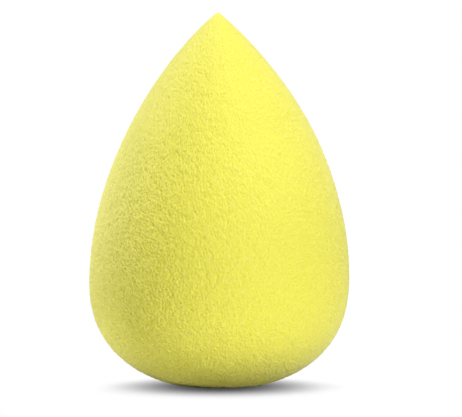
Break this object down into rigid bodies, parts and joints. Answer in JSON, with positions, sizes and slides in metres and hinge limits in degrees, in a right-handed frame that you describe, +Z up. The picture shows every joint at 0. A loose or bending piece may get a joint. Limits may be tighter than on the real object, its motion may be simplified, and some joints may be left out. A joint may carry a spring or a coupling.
{
  "type": "makeup sponge",
  "caption": "Teardrop makeup sponge of soft matte open-cell foam, with a pointed tip, a round belly and a small flat foot, for dabbing and blending make-up.",
  "frame": {"origin": "middle of the flat foot that the sponge stands on", "axes": "+Z up along the axis of the teardrop, from the foot to the tip; round about Z, so X and Y are free"},
  "size_m": [0.0418, 0.0418, 0.06],
  "materials": {
    "foam": "matte lemon-yellow open-cell foam with fine pores"
  },
  "bodies": {
    "root": {"sponge": "foam"}
  },
  "joints": []
}
